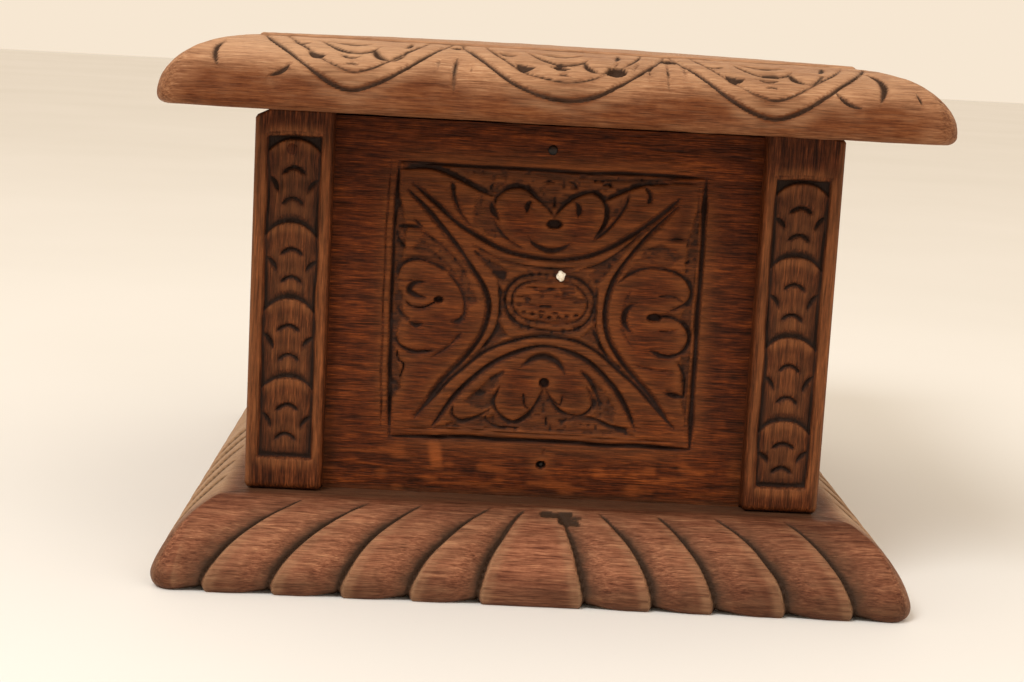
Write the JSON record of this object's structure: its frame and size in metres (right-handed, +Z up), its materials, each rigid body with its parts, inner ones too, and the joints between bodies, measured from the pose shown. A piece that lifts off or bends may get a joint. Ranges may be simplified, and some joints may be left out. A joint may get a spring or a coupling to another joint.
{
  "type": "jewelry box",
  "caption": "Carved wooden jewelry box with corner posts, a lobed moulded base and an overhanging moulded lid that turns on hinges at the back.",
  "frame": {"origin": "middle of the base's underside, at the centre of the bounding box's bottom face", "axes": "+X across the carved front to its right-hand side, +Y from the front to the hinges, +Z up"},
  "size_m": [0.196, 0.23, 0.1385],
  "materials": {
    "oak_base": "waxed, worn",
    "oak_lid": "bleached and worn on top, waxed below",
    "oak_panel": "waxed",
    "oak_post": "waxed",
    "iron": "dull, blackened",
    "steel": "dull",
    "filler": "matt",
    "lining_cloth": "napped"
  },
  "bodies": {
    "box": {"base_board": "oak_base", "panel_front": "oak_panel", "panel_back": "oak_panel", "panel_left": "oak_panel", "panel_right": "oak_panel", "post_front_left": "oak_post", "post_front_right": "oak_post", "post_back_left": "oak_post", "post_back_right": "oak_post", "hinge_left_body_leaf": "iron", "hinge_right_body_leaf": "iron", "hinge_left_pin": "iron", "hinge_right_pin": "iron", "hinge_body_screws": "steel", "post_screws": "steel", "panel_nail_top": "iron", "panel_nail_bottom": "iron", "filler_plug": "filler", "post_peg": "oak_post", "floor_pad": "lining_cloth", "lining_front": "lining_cloth", "lining_back": "lining_cloth", "lining_left": "lining_cloth", "lining_right": "lining_cloth"},
    "lid": {"lid_board": "oak_lid", "hinge_left_lid_leaf": "iron", "hinge_right_lid_leaf": "iron", "hinge_lid_screws": "steel"}
  },
  "joints": [
    {"name": "lid_hinge", "type": "hinge", "parent": "box", "child": "lid", "pos_m": [0, 0.0942, 0.1188], "axis": [-1, 0, 0], "range_deg": [0, 95]}
  ]
}
